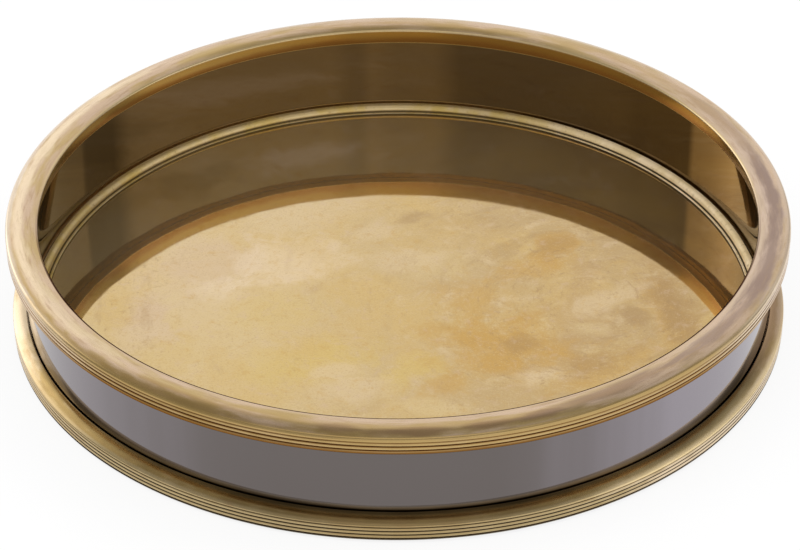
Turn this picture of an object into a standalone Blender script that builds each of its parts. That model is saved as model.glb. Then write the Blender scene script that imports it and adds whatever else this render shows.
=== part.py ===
"""Round serving tray: a rolled metal wall between two turned brass rings.

The top rim is a low dome with a reeded outer edge, slotted underneath for the wall.
The base ring is reeded too, and its inner flange carries the floor plate. A bead ring
covers the plate's edge and is held by screws that come up through the flange. A thin
board stiffens the plate, and felt pads under the board are what the tray stands on.

Metres, +Z up. The origin is on the tray's axis, at the underside of the felt pads.
"""
import math

import bpy

# Overall sizes
OUTER_RADIUS = 0.2250          # both rings, at their widest
BODY_HEIGHT = 0.0660           # underside of the base ring to the inner edge of the rim
CLEARANCE = 0.0003             # gap between pieces that touch on the real tray
TURN_STEPS = 80                # facets round each ring
MERGE_DISTANCE = 0.00001

# Wall band
WALL_THICKNESS = 0.0022
WALL_INSET = 0.0087            # wall's outer face, in from the outside of the rings

# Top rim
RIM_WIDTH = 0.0186
RIM_CROWN = 0.0010             # rise of the dome above the inner edge
RIM_SKIRT = 0.0100             # depth of the rim below the inner edge
RIM_RAKE = 0.0021              # the inner face leans out by this much towards its foot
RIM_INNER_ROUND = 0.0012
RIM_OUTER_ROUND = 0.0019
RIM_SLOT_DEPTH = 0.0060
RIM_BAND = 0.0025              # height of the outer side that isn't reeded
RIM_REEDS = 3

# Base ring
BASE_RING_HEIGHT = 0.0127      # underside to the edge beside the wall
BASE_CROWN = 0.0005            # rise of its dome above that edge
BASE_FALL = 0.0030             # the dome's outer edge lies this much lower
BASE_OUTER_ROUND = 0.0010
BASE_INNER_ROUND = 0.0004
BASE_BAND = 0.00165            # height of the outer side that isn't reeded
BASE_REEDS = 4                 # the lowest is only its upper half
BASE_GROOVE = 0.0005           # open gap between the ring's top edge and the wall
BASE_GROOVE_DEPTH = 0.0045
FLANGE_WIDTH = 0.0142          # in from the wall's inner face
FLANGE_THICKNESS = 0.0020

# Reeding, the same on both rings
REED_DEPTH = 0.0009
REED_FLAT = 0.0007             # height of each reed's rounded nose

# Floor plate and the board under it
FLOOR_THICKNESS = 0.0012
BOARD_THICKNESS = 0.0020

# Bead ring round the floor
BEAD_HEIGHT = 0.0052           # above the floor
BEAD_WIDTH = 0.0046            # from its back to the foot of its curve
BEAD_TOE_WIDTH = 0.0020        # low strip in front of the curve
BEAD_TOE_HEIGHT = 0.0009
BEAD_TOE_ROUND = 0.0006
BEAD_NOTCH = 0.0005            # width and depth of the fine groove behind the strip
BEAD_BACK_ROUND = 0.0004
BEAD_GROOVE = 0.0013           # from the bead's back to the wall
BEAD_GROOVE_DEPTH = 0.0021
BEAD_REBATE = 0.0008           # the plate's edge runs this far under the bead's body

# Countersunk screws, from below through the flange into the bead
SCREW_COUNT = 8
SCREW_RADIUS = 0.0010
SCREW_HEAD_RADIUS = 0.0019
SCREW_HEAD_RIM = 0.0002
SCREW_RECESS = 0.0002          # the head lies this far inside the flange
SCREW_COVER = 0.0020           # bead metal left above the screw's tip
SCREW_TIP = 0.0004
SCREW_SIDES = 12
SOCKET_RADIUS = 0.0008
SOCKET_DEPTH = 0.0009
CUT_OVERRUN = 0.0010

# Felt pads
PAD_COUNT = 6
PAD_RADIUS = 0.0090
PAD_THICKNESS = 0.0015
PAD_INSET = 0.0030             # pad's edge, in from the edge of the board
PAD_SIDES = 24

# Points on each curved stretch of a profile
DOME_POINTS = 6
ROUND_POINTS = 3
BEAD_POINTS = 4

# Radii that follow from the sizes above
CREST_RADIUS = OUTER_RADIUS - RIM_WIDTH
WALL_OUTER = OUTER_RADIUS - WALL_INSET
WALL_INNER = WALL_OUTER - WALL_THICKNESS
FLANGE_RADIUS = WALL_INNER - FLANGE_WIDTH
BEAD_BACK = WALL_INNER - BEAD_GROOVE
BEAD_FOOT = BEAD_BACK - BEAD_WIDTH
BEAD_TOE = BEAD_FOOT - BEAD_TOE_WIDTH
FLOOR_RADIUS = BEAD_FOOT + BEAD_REBATE
SCREW_CIRCLE = (FLOOR_RADIUS + CLEARANCE + BEAD_BACK) / 2
BOARD_RADIUS = FLANGE_RADIUS - CLEARANCE
PAD_CIRCLE = BOARD_RADIUS - PAD_INSET - PAD_RADIUS

# Reed pitches that fill the rest of each ring's outer side
BASE_REEDED = BASE_RING_HEIGHT - BASE_FALL - BASE_BAND
RIM_REED_PITCH = (RIM_SKIRT - RIM_BAND) / RIM_REEDS
BASE_REED_PITCH = BASE_REEDED / (BASE_REEDS - 1 / 2)

# Heights that follow, from the table up
BOARD_Z = PAD_THICKNESS + CLEARANCE
FLANGE_TOP = BOARD_Z + BOARD_THICKNESS
BASE_Z = FLANGE_TOP - FLANGE_THICKNESS
FLOOR_Z = FLANGE_TOP + CLEARANCE
FLOOR_TOP = FLOOR_Z + FLOOR_THICKNESS
CREST_Z = BASE_Z + BODY_HEIGHT
RIM_FOOT_Z = CREST_Z - RIM_SKIRT
BASE_EDGE_Z = BASE_Z + BASE_RING_HEIGHT
WALL_Z = FLANGE_TOP + CLEARANCE
WALL_TOP = RIM_FOOT_Z + RIM_SLOT_DEPTH - CLEARANCE
BEAD_Z = FLOOR_TOP + CLEARANCE
BEAD_TOP = FLOOR_TOP + BEAD_HEIGHT
SCREW_Z = BASE_Z + SCREW_RECESS
SCREW_TOP = BEAD_TOP - SCREW_COVER


def clear_scene():
    """Remove whatever the file opened with."""
    for existing in list(bpy.data.objects):
        bpy.data.objects.remove(existing, do_unlink=True)


def new_collection(name):
    """Make a collection in the scene."""
    collection = bpy.data.collections.new(name)
    bpy.context.scene.collection.children.link(collection)
    return collection


def make_material(name, colour, metallic, roughness):
    """Make a plain Principled material."""
    material = bpy.data.materials.new(name)
    material.use_nodes = True
    shader = material.node_tree.nodes["Principled BSDF"]
    shader.inputs["Base Color"].default_value = (*colour, 1.0)
    shader.inputs["Metallic"].default_value = metallic
    shader.inputs["Roughness"].default_value = roughness
    material.diffuse_color = (*colour, 1.0)
    return material


def arc(centre, radii, start, end, count):
    """Points along an elliptical arc between two angles in degrees, ends included."""
    points = []
    for index in range(count):
        angle = math.radians(start + (end - start) * index / (count - 1))
        radius = centre[0] + radii[0] * math.cos(angle)
        height = centre[1] + radii[1] * math.sin(angle)
        points.append((radius, height))
    return points


def dome(inner, outer, crown):
    """Points strictly between two ends of a shallow dome, with the given extra rise."""
    points = []
    for index in range(1, DOME_POINTS + 1):
        share = index / (DOME_POINTS + 1)
        radius = inner[0] + (outer[0] - inner[0]) * share
        chord = inner[1] + (outer[1] - inner[1]) * share
        points.append((radius, chord + crown * math.sin(math.pi * share)))
    return points


def reeds(radius, top, pitch, count):
    """Outline of stacked reeds: a groove above each rounded nose, from the top down."""
    points = []
    for index in range(count):
        nose = top - pitch * (index + 0.5)
        points.append((radius - REED_DEPTH, top - pitch * index))
        points.append((radius, nose + REED_FLAT / 2))
        points.append((radius, nose - REED_FLAT / 2))
    return points


def outline_mesh(name, profile, closed):
    """A mesh of edges through the profile's points, in the XZ plane."""
    points = [(radius, 0.0, height) for radius, height in profile]
    edges = [(index, index + 1) for index in range(len(points) - 1)]
    if closed:
        edges.append((len(points) - 1, 0))
    mesh = bpy.data.meshes.new(name)
    mesh.from_pydata(points, edges, [])
    return mesh


def turned(name, profile, closed, steps, material, collection):
    """Turn a profile about Z. It runs over the top, down the outside and back inside."""
    solid = bpy.data.objects.new(name, outline_mesh(name, profile, closed))
    solid.data.materials.append(material)
    collection.objects.link(solid)
    screw = solid.modifiers.new("Turn", "SCREW")
    screw.axis = "Z"
    screw.angle = math.tau
    screw.steps = steps
    screw.render_steps = steps
    screw.use_merge_vertices = True
    screw.merge_threshold = MERGE_DISTANCE
    screw.use_smooth_shade = True
    return solid


def as_cutter(solid):
    """Mark an object as a cutter."""
    solid.hide_render = True
    solid.display_type = "WIRE"


def cut(solid, cutter):
    """Take the cutter's volume out of the solid."""
    boolean = solid.modifiers.new("Cut", "BOOLEAN")
    boolean.operation = "DIFFERENCE"
    boolean.solver = "EXACT"
    boolean.object = cutter


def evaluated_mesh(solid, name):
    """The solid's mesh with its modifiers applied."""
    depsgraph = bpy.context.evaluated_depsgraph_get()
    depsgraph.update()
    mesh = bpy.data.meshes.new_from_object(solid.evaluated_get(depsgraph))
    mesh.name = name
    return mesh


def ring_places(count, radius, first_angle):
    """Even places round the axis, as (x, y)."""
    places = []
    for index in range(count):
        angle = first_angle + math.tau * index / count
        places.append((radius * math.cos(angle), radius * math.sin(angle)))
    return places


def top_rim(material, collection):
    """Domed ring, reeded outside, with a slot underneath for the wall's top edge."""
    inner_round = RIM_INNER_ROUND
    outer_round = RIM_OUTER_ROUND
    inner_centre = (CREST_RADIUS + inner_round, CREST_Z - inner_round)
    outer_centre = (OUTER_RADIUS - outer_round, CREST_Z - outer_round)
    inner_edge = arc(inner_centre, (inner_round, inner_round), 180, 100, ROUND_POINTS)
    outer_edge = arc(outer_centre, (outer_round, outer_round), 76, -10, ROUND_POINTS + 1)
    reed_top = CREST_Z - RIM_BAND
    slot_top = RIM_FOOT_Z + RIM_SLOT_DEPTH
    foot_radius = OUTER_RADIUS - REED_DEPTH
    profile = inner_edge
    profile += dome(inner_edge[-1], outer_edge[0], RIM_CROWN)
    profile += outer_edge
    profile += reeds(OUTER_RADIUS, reed_top, RIM_REED_PITCH, RIM_REEDS)
    profile.append((foot_radius, RIM_FOOT_Z))
    profile.append((WALL_OUTER + CLEARANCE, RIM_FOOT_Z))
    profile.append((WALL_OUTER + CLEARANCE, slot_top))
    profile.append((WALL_INNER - CLEARANCE, slot_top))
    profile.append((WALL_INNER - CLEARANCE, RIM_FOOT_Z))
    profile.append((CREST_RADIUS + RIM_RAKE, RIM_FOOT_Z))
    return turned("top_rim", profile, True, TURN_STEPS, material, collection)


def wall_band(material, collection):
    """Upright rolled strip, standing on the base ring's flange."""
    profile = [(WALL_INNER, WALL_TOP), (WALL_OUTER, WALL_TOP)]
    profile += [(WALL_OUTER, WALL_Z), (WALL_INNER, WALL_Z)]
    return turned("wall_band", profile, True, TURN_STEPS, material, collection)


def base_ring(material, collection, screw_holes):
    """Reeded ring round the wall's foot, with a flange inside for the floor."""
    edge_radius = WALL_OUTER + BASE_GROOVE
    inner_round = BASE_INNER_ROUND
    outer_round = BASE_OUTER_ROUND
    shoulder_z = BASE_EDGE_Z - BASE_FALL
    inner_centre = (edge_radius + inner_round, BASE_EDGE_Z - inner_round)
    outer_centre = (OUTER_RADIUS - outer_round, shoulder_z - outer_round)
    inner_edge = arc(inner_centre, (inner_round, inner_round), 180, 80, ROUND_POINTS)
    outer_edge = arc(outer_centre, (outer_round, outer_round), 60, 0, ROUND_POINTS)
    reed_top = BASE_Z + BASE_REEDED
    profile = inner_edge
    profile += dome(inner_edge[-1], outer_edge[0], BASE_CROWN)
    profile += outer_edge
    profile += reeds(OUTER_RADIUS, reed_top, BASE_REED_PITCH, BASE_REEDS - 1)
    profile.append((OUTER_RADIUS - REED_DEPTH, BASE_Z + BASE_REED_PITCH / 2))
    profile.append((OUTER_RADIUS - REED_DEPTH / 2, BASE_Z))
    profile.append((FLANGE_RADIUS, BASE_Z))
    profile.append((FLANGE_RADIUS, FLANGE_TOP))
    profile.append((WALL_OUTER + CLEARANCE, FLANGE_TOP))
    profile.append((WALL_OUTER + CLEARANCE, BASE_EDGE_Z - BASE_GROOVE_DEPTH))
    profile.append((edge_radius, BASE_EDGE_Z - BASE_GROOVE_DEPTH))
    solid = turned("base_ring", profile, True, TURN_STEPS, material, collection)
    cut(solid, screw_holes)
    return solid


def inner_bead(material, collection, screw_holes):
    """Rounded bead over the floor's edge, with a low toe strip and an open back."""
    back_round = BEAD_BACK_ROUND
    curve_width = BEAD_WIDTH - back_round
    toe_top = BEAD_Z + BEAD_TOE_HEIGHT
    curve_centre = (BEAD_FOOT + curve_width, toe_top)
    back_centre = (BEAD_BACK - back_round, BEAD_TOP - back_round)
    curve = arc(curve_centre, (curve_width, BEAD_TOP - toe_top), 180, 90, BEAD_POINTS)
    back = arc(back_centre, (back_round, back_round), 60, 0, ROUND_POINTS)
    toe_round = BEAD_TOE_ROUND
    toe_centre = (BEAD_TOE + toe_round, toe_top - toe_round)
    profile = arc(toe_centre, (toe_round, toe_round), 180, 90, ROUND_POINTS)
    profile.append((BEAD_FOOT - BEAD_NOTCH, toe_top))
    profile.append((BEAD_FOOT - BEAD_NOTCH / 2, toe_top - BEAD_NOTCH))
    profile += curve
    profile += back
    profile.append((BEAD_BACK, BEAD_TOP - BEAD_GROOVE_DEPTH))
    profile.append((WALL_INNER - CLEARANCE, BEAD_TOP - BEAD_GROOVE_DEPTH))
    profile.append((WALL_INNER - CLEARANCE, FLANGE_TOP + CLEARANCE))
    profile.append((FLOOR_RADIUS + CLEARANCE, FLANGE_TOP + CLEARANCE))
    profile.append((FLOOR_RADIUS + CLEARANCE, BEAD_Z))
    profile.append((BEAD_TOE, BEAD_Z))
    solid = turned("inner_bead", profile, True, TURN_STEPS, material, collection)
    cut(solid, screw_holes)
    return solid


def disc(name, radius, low, high, material, collection):
    """A flat round plate."""
    profile = [(0.0, high), (radius, high), (radius, low), (0.0, low)]
    return turned(name, profile, False, TURN_STEPS, material, collection)


def screw_profile(grow, foot):
    """Half outline of a countersunk screw, enlarged by grow, from its tip down to foot."""
    neck_z = SCREW_Z + SCREW_HEAD_RIM + SCREW_HEAD_RADIUS - SCREW_RADIUS
    shank = SCREW_RADIUS + grow
    head = SCREW_HEAD_RADIUS + grow
    top = SCREW_TOP + grow
    profile = [(0.0, top), (shank - SCREW_TIP, top), (shank, top - SCREW_TIP)]
    profile += [(shank, neck_z), (head, SCREW_Z + SCREW_HEAD_RIM)]
    profile += [(head, foot), (0.0, foot)]
    return profile


def screw_hole_cutter(material, cutters):
    """One cutter with a clearance hole for every screw."""
    foot = BASE_Z - CUT_OVERRUN
    profile = screw_profile(CLEARANCE, foot)
    pattern = turned("screw_hole", profile, False, SCREW_SIDES, material, cutters)
    hole = evaluated_mesh(pattern, "screw_hole")
    bpy.data.objects.remove(pattern, do_unlink=True)
    points = []
    faces = []
    for x, y in screw_places():
        first = len(points)
        points += [(x + v.co.x, y + v.co.y, v.co.z) for v in hole.vertices]
        faces += [[first + corner for corner in face.vertices] for face in hole.polygons]
    mesh = bpy.data.meshes.new("screw_holes")
    mesh.from_pydata(points, [], faces)
    cutter = bpy.data.objects.new("screw_holes", mesh)
    cutters.objects.link(cutter)
    as_cutter(cutter)
    return cutter


def screw_places():
    """Where the screws stand."""
    return ring_places(SCREW_COUNT, SCREW_CIRCLE, math.pi / SCREW_COUNT)


def screws(material, collection, cutters):
    """Countersunk screws with a hexagon socket in each head."""
    pattern = turned("screw", screw_profile(0.0, SCREW_Z), False, SCREW_SIDES, material, cutters)
    socket_height = SOCKET_DEPTH + CUT_OVERRUN
    socket_z = SCREW_Z + SOCKET_DEPTH - socket_height / 2
    bpy.ops.mesh.primitive_cylinder_add(
        vertices=6, radius=SOCKET_RADIUS, depth=socket_height, location=(0.0, 0.0, socket_z)
    )
    socket = bpy.context.active_object
    socket.name = "screw_socket"
    move_to(socket, cutters)
    as_cutter(socket)
    cut(pattern, socket)
    mesh = evaluated_mesh(pattern, "screw")
    bpy.data.objects.remove(pattern, do_unlink=True)
    for index, (x, y) in enumerate(screw_places()):
        screw = bpy.data.objects.new(f"screw_{index + 1}", mesh)
        screw.location = (x, y, 0.0)
        collection.objects.link(screw)


def move_to(solid, collection):
    """Keep the object in one collection only."""
    for owner in list(solid.users_collection):
        owner.objects.unlink(solid)
    collection.objects.link(solid)


def felt_pads(material, collection):
    """Round pads under the board, near its edge."""
    places = ring_places(PAD_COUNT, PAD_CIRCLE, math.pi / PAD_COUNT)
    for index, (x, y) in enumerate(places):
        bpy.ops.mesh.primitive_cylinder_add(
            vertices=PAD_SIDES, radius=PAD_RADIUS, depth=PAD_THICKNESS,
            location=(x, y, PAD_THICKNESS / 2)
        )
        pad = bpy.context.active_object
        pad.name = f"felt_pad_{index + 1}"
        pad.data.materials.append(material)
        move_to(pad, collection)


def build():
    """Build the tray."""
    clear_scene()
    tray = new_collection("round_serving_tray")
    cutters = new_collection("cutters")
    rim_brass = make_material("rim_brass", (0.50, 0.36, 0.18), 1.0, 0.32)
    floor_brass = make_material("floor_brass", (0.60, 0.43, 0.20), 1.0, 0.25)
    dark_nickel = make_material("dark_nickel", (0.15, 0.135, 0.125), 1.0, 0.10)
    board_black = make_material("board_black", (0.02, 0.018, 0.016), 0.0, 0.70)
    screw_steel = make_material("screw_steel", (0.45, 0.44, 0.42), 1.0, 0.35)
    felt_dark = make_material("felt_dark", (0.035, 0.030, 0.026), 0.0, 0.95)
    screw_holes = screw_hole_cutter(board_black, cutters)
    top_rim(rim_brass, tray)
    wall_band(dark_nickel, tray)
    base_ring(rim_brass, tray, screw_holes)
    inner_bead(rim_brass, tray, screw_holes)
    disc("floor_plate", FLOOR_RADIUS, FLOOR_Z, FLOOR_TOP, floor_brass, tray)
    disc("stiffener_board", BOARD_RADIUS, BOARD_Z, FLANGE_TOP, board_black, tray)
    screws(screw_steel, tray, cutters)
    felt_pads(felt_dark, tray)


build()
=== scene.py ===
"""Round serving tray: its looks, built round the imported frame.

The rings, the wall and the floor plate are turned again with finer curves than the CAD
solids have, and the felt pads are made again as felt. Every material is procedural:
aged brass with its tarnish, polished dark nickel, lacquered patina, board, steel and felt.

Metres, +Z up. The front of the tray is towards -Y, and angles round it are in degrees
from there, rising towards +X.
"""
import math

import bmesh
import bpy
from mathutils import Matrix, Vector


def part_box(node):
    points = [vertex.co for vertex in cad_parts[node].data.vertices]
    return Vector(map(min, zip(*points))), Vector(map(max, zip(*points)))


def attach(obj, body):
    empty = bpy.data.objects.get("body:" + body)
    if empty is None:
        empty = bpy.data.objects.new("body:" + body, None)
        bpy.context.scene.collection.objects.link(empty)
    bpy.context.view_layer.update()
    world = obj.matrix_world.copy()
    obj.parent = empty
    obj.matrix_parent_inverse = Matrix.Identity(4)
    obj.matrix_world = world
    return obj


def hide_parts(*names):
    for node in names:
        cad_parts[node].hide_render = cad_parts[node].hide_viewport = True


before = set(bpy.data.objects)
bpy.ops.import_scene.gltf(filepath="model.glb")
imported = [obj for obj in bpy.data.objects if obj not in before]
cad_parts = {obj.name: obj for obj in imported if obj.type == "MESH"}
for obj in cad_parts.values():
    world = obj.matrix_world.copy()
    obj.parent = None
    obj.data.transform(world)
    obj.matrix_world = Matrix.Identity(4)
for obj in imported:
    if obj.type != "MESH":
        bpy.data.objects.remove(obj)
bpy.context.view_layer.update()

# Sizes that come from the frame
RIM_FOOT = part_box("top_rim")[0].z
OUTER_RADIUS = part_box("top_rim")[1].x
BASE_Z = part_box("base_ring")[0].z
WALL_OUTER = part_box("wall_band")[1].x
WALL_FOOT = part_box("wall_band")[0].z
WALL_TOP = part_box("wall_band")[1].z
BEAD_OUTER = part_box("inner_bead")[1].x
BEAD_FOOT_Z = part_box("inner_bead")[0].z
BEAD_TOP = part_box("inner_bead")[1].z
FLOOR_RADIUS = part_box("floor_plate")[1].x
FLOOR_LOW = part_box("floor_plate")[0].z
FLOOR_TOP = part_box("floor_plate")[1].z
FLANGE_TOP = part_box("stiffener_board")[1].z
SCREW_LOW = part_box("screw_1")[0].z
SCREW_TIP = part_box("screw_1")[1].z
CLEARANCE = FLOOR_LOW - FLANGE_TOP

# Sizes of the profiles, as on the CAD solids
WALL_THICKNESS = 0.0022
RIM_WIDTH = 0.0186
RIM_SKIRT = 0.0100
RIM_CROWN = 0.0010
RIM_RAKE = 0.0021
RIM_BAND = 0.0025
RIM_REEDS = 3
RIM_INNER_ROUND = 0.0012
RIM_OUTER_ROUND = 0.0019
RIM_SLOT_DEPTH = 0.0060
BASE_RING_HEIGHT = 0.0127
BASE_CROWN = 0.0005
BASE_FALL = 0.0030
BASE_BAND = 0.00165
BASE_REEDS = 4
BASE_OUTER_ROUND = 0.0010
BASE_INNER_ROUND = 0.0004
BASE_GROOVE = 0.0005
BASE_GROOVE_DEPTH = 0.0045
REED_DEPTH = 0.0009
FLANGE_WIDTH = 0.0142
BEAD_GROOVE = 0.0013
BEAD_GROOVE_DEPTH = 0.0021
BEAD_WIDTH = 0.0046
BEAD_TOE_WIDTH = 0.0020
BEAD_TOE_HEIGHT = 0.0009
BEAD_TOE_ROUND = 0.0006
BEAD_NOTCH = 0.0005
BEAD_BACK_ROUND = 0.0004
SCREW_COUNT = 8
SCREW_RADIUS = 0.0010
SCREW_HEAD_RADIUS = 0.0019
SCREW_HEAD_RIM = 0.0002
CUT_OVERRUN = 0.0010
PAD_COUNT = 6
PAD_ROUND = 0.0003
PLATE_ROUND = 0.0003

# Fineness of the turned meshes
RING_STEPS = 320
PAD_STEPS = 72
HOLE_STEPS = 24
SHARP_ANGLE = 32.0
SMALL = 0.000001

# Arcs of the profiles, as degrees from and to and how many points, and points on the domes
REED_ARC = (90, -90, 11)
HALF_REED_ARC = (90, 30, 5)
RIM_INNER_ARC = (180, 100, 6)
RIM_OUTER_ARC = (76, -10, 9)
RIM_DOME = 20
BASE_INNER_ARC = (180, 80, 6)
BASE_OUTER_ARC = (60, 0, 6)
BASE_DOME = 14
TOE_ARC = (180, 90, 7)
BEAD_ARC = (180, 90, 14)
BACK_ARC = (75, 0, 6)
PAD_TOP_ARC = (60, 0, 3)
PAD_FOOT_ARC = (0, -90, 4)

# Radii and heights that follow
WALL_INNER = WALL_OUTER - WALL_THICKNESS
CREST_RADIUS = OUTER_RADIUS - RIM_WIDTH
CREST_Z = RIM_FOOT + RIM_SKIRT
RIM_REED_TOP = CREST_Z - RIM_BAND
RIM_PITCH = (RIM_SKIRT - RIM_BAND) / RIM_REEDS
BASE_EDGE_Z = BASE_Z + BASE_RING_HEIGHT
BASE_REEDED = BASE_RING_HEIGHT - BASE_FALL - BASE_BAND
BASE_REED_TOP = BASE_Z + BASE_REEDED
BASE_PITCH = BASE_REEDED / (BASE_REEDS - 1 / 2)
FLANGE_RADIUS = WALL_INNER - FLANGE_WIDTH
BEAD_BACK = WALL_INNER - BEAD_GROOVE
BEAD_FOOT = BEAD_BACK - BEAD_WIDTH
BEAD_TOE = BEAD_FOOT - BEAD_TOE_WIDTH
SCREW_CIRCLE = (FLOOR_RADIUS + CLEARANCE + BEAD_BACK) / 2


# Shapes

def arc(centre, radii, start, end, count):
    """Points along an elliptical arc between two angles in degrees, ends included."""
    points = []
    for index in range(count):
        angle = math.radians(start + (end - start) * index / (count - 1))
        radius = centre[0] + radii[0] * math.cos(angle)
        points.append((radius, centre[1] + radii[1] * math.sin(angle)))
    return points


def dome(inner, outer, crown, count):
    """Points strictly between two ends of a shallow dome."""
    points = []
    for index in range(1, count + 1):
        share = index / (count + 1)
        radius = inner[0] + (outer[0] - inner[0]) * share
        chord = inner[1] + (outer[1] - inner[1]) * share
        points.append((radius, chord + crown * math.sin(math.pi * share)))
    return points


def reeds(radius, top, pitch, count):
    """Stacked half-round reeds with a sharp groove above each, from the top down."""
    points = []
    for index in range(count):
        middle = top - pitch * (index + 0.5)
        centre = (radius - REED_DEPTH, middle)
        points += arc(centre, (REED_DEPTH, pitch / 2), *REED_ARC)[:-1]
    points.append((radius - REED_DEPTH, top - pitch * count))
    return points


def smooth(mesh):
    """Shade the mesh smooth, with its sharp edges kept."""
    mesh.shade_smooth()
    mesh.set_sharp_from_angle(angle=math.radians(SHARP_ANGLE))


def turned(name, profile, closed, steps, material):
    """Turn a profile of (radius, height) points about Z."""
    shape = bmesh.new()
    corners = [shape.verts.new((radius, 0.0, height)) for radius, height in profile]
    edges = [shape.edges.new(pair) for pair in zip(corners, corners[1:])]
    if closed:
        edges.append(shape.edges.new((corners[-1], corners[0])))
    bmesh.ops.spin(
        shape, geom=corners + edges, axis=(0.0, 0.0, 1.0), cent=(0.0, 0.0, 0.0),
        angle=math.tau, steps=steps, use_merge=True
    )
    bmesh.ops.remove_doubles(shape, verts=shape.verts, dist=SMALL)
    bmesh.ops.recalc_face_normals(shape, faces=shape.faces)
    mesh = bpy.data.meshes.new(name)
    shape.to_mesh(mesh)
    shape.free()
    smooth(mesh)
    piece = bpy.data.objects.new(name, mesh)
    piece.data.materials.append(material)
    bpy.context.scene.collection.objects.link(piece)
    return piece


def cut(piece, cutter):
    """Take the cutter's volume out of the piece for good."""
    boolean = piece.modifiers.new("Cut", "BOOLEAN")
    boolean.operation = "DIFFERENCE"
    boolean.solver = "EXACT"
    boolean.object = cutter
    depsgraph = bpy.context.evaluated_depsgraph_get()
    mesh = bpy.data.meshes.new_from_object(piece.evaluated_get(depsgraph))
    piece.modifiers.clear()
    piece.data = mesh
    smooth(mesh)


def screw_holes(material):
    """Countersunk clearance holes on the screws' circle, as one cutter."""
    neck = SCREW_LOW + SCREW_HEAD_RIM + SCREW_HEAD_RADIUS - SCREW_RADIUS
    shank = SCREW_RADIUS + CLEARANCE
    head = SCREW_HEAD_RADIUS + CLEARANCE
    foot = BASE_Z - CUT_OVERRUN
    profile = [(0.0, SCREW_TIP + CLEARANCE), (shank, SCREW_TIP + CLEARANCE), (shank, neck)]
    profile += [(head, SCREW_LOW + SCREW_HEAD_RIM), (head, foot), (0.0, foot)]
    cutter = turned("screw_holes", profile, False, HOLE_STEPS, material)
    shape = bmesh.new()
    for index in range(SCREW_COUNT):
        angle = math.tau * (index + 0.5) / SCREW_COUNT
        place = Vector((math.cos(angle), math.sin(angle), 0.0)) * SCREW_CIRCLE
        copy = cutter.data.copy()
        copy.transform(Matrix.Translation(place))
        shape.from_mesh(copy)
        bpy.data.meshes.remove(copy)
    shape.to_mesh(cutter.data)
    shape.free()
    return cutter


def top_rim(material):
    """Domed ring with three reeds outside and a slot underneath."""
    inner = (CREST_RADIUS + RIM_INNER_ROUND, CREST_Z - RIM_INNER_ROUND)
    outer = (OUTER_RADIUS - RIM_OUTER_ROUND, CREST_Z - RIM_OUTER_ROUND)
    inner_edge = arc(inner, (RIM_INNER_ROUND, RIM_INNER_ROUND), *RIM_INNER_ARC)
    outer_edge = arc(outer, (RIM_OUTER_ROUND, RIM_OUTER_ROUND), *RIM_OUTER_ARC)
    slot_top = RIM_FOOT + RIM_SLOT_DEPTH
    profile = inner_edge
    profile += dome(inner_edge[-1], outer_edge[0], RIM_CROWN, RIM_DOME)
    profile += outer_edge
    profile += reeds(OUTER_RADIUS, RIM_REED_TOP, RIM_PITCH, RIM_REEDS)
    profile += [
        (WALL_OUTER + CLEARANCE, RIM_FOOT), (WALL_OUTER + CLEARANCE, slot_top),
        (WALL_INNER - CLEARANCE, slot_top), (WALL_INNER - CLEARANCE, RIM_FOOT),
        (CREST_RADIUS + RIM_RAKE, RIM_FOOT),
    ]
    return turned("aged_top_rim", profile, True, RING_STEPS, material)


def wall_band(material):
    """Upright band between the rings."""
    profile = [(WALL_INNER, WALL_TOP), (WALL_OUTER, WALL_TOP)]
    profile += [(WALL_OUTER, WALL_FOOT), (WALL_INNER, WALL_FOOT)]
    return turned("polished_wall", profile, True, RING_STEPS, material)


def base_ring(material, holes):
    """Reeded ring round the wall's foot, with the flange that carries the floor."""
    edge = WALL_OUTER + BASE_GROOVE
    shoulder = BASE_EDGE_Z - BASE_FALL
    inner = (edge + BASE_INNER_ROUND, BASE_EDGE_Z - BASE_INNER_ROUND)
    outer = (OUTER_RADIUS - BASE_OUTER_ROUND, shoulder - BASE_OUTER_ROUND)
    inner_edge = arc(inner, (BASE_INNER_ROUND, BASE_INNER_ROUND), *BASE_INNER_ARC)
    outer_edge = arc(outer, (BASE_OUTER_ROUND, BASE_OUTER_ROUND), *BASE_OUTER_ARC)
    half_reed = (OUTER_RADIUS - REED_DEPTH, BASE_Z)
    profile = inner_edge
    profile += dome(inner_edge[-1], outer_edge[0], BASE_CROWN, BASE_DOME)
    profile += outer_edge
    profile += reeds(OUTER_RADIUS, BASE_REED_TOP, BASE_PITCH, BASE_REEDS - 1)[:-1]
    profile += arc(half_reed, (REED_DEPTH, BASE_PITCH / 2), *HALF_REED_ARC)
    profile += [
        (OUTER_RADIUS - REED_DEPTH / 2, BASE_Z), (FLANGE_RADIUS, BASE_Z),
        (FLANGE_RADIUS, FLANGE_TOP), (WALL_OUTER + CLEARANCE, FLANGE_TOP),
        (WALL_OUTER + CLEARANCE, BASE_EDGE_Z - BASE_GROOVE_DEPTH),
        (edge, BASE_EDGE_Z - BASE_GROOVE_DEPTH),
    ]
    piece = turned("aged_base_ring", profile, True, RING_STEPS, material)
    cut(piece, holes)
    return piece


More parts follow.
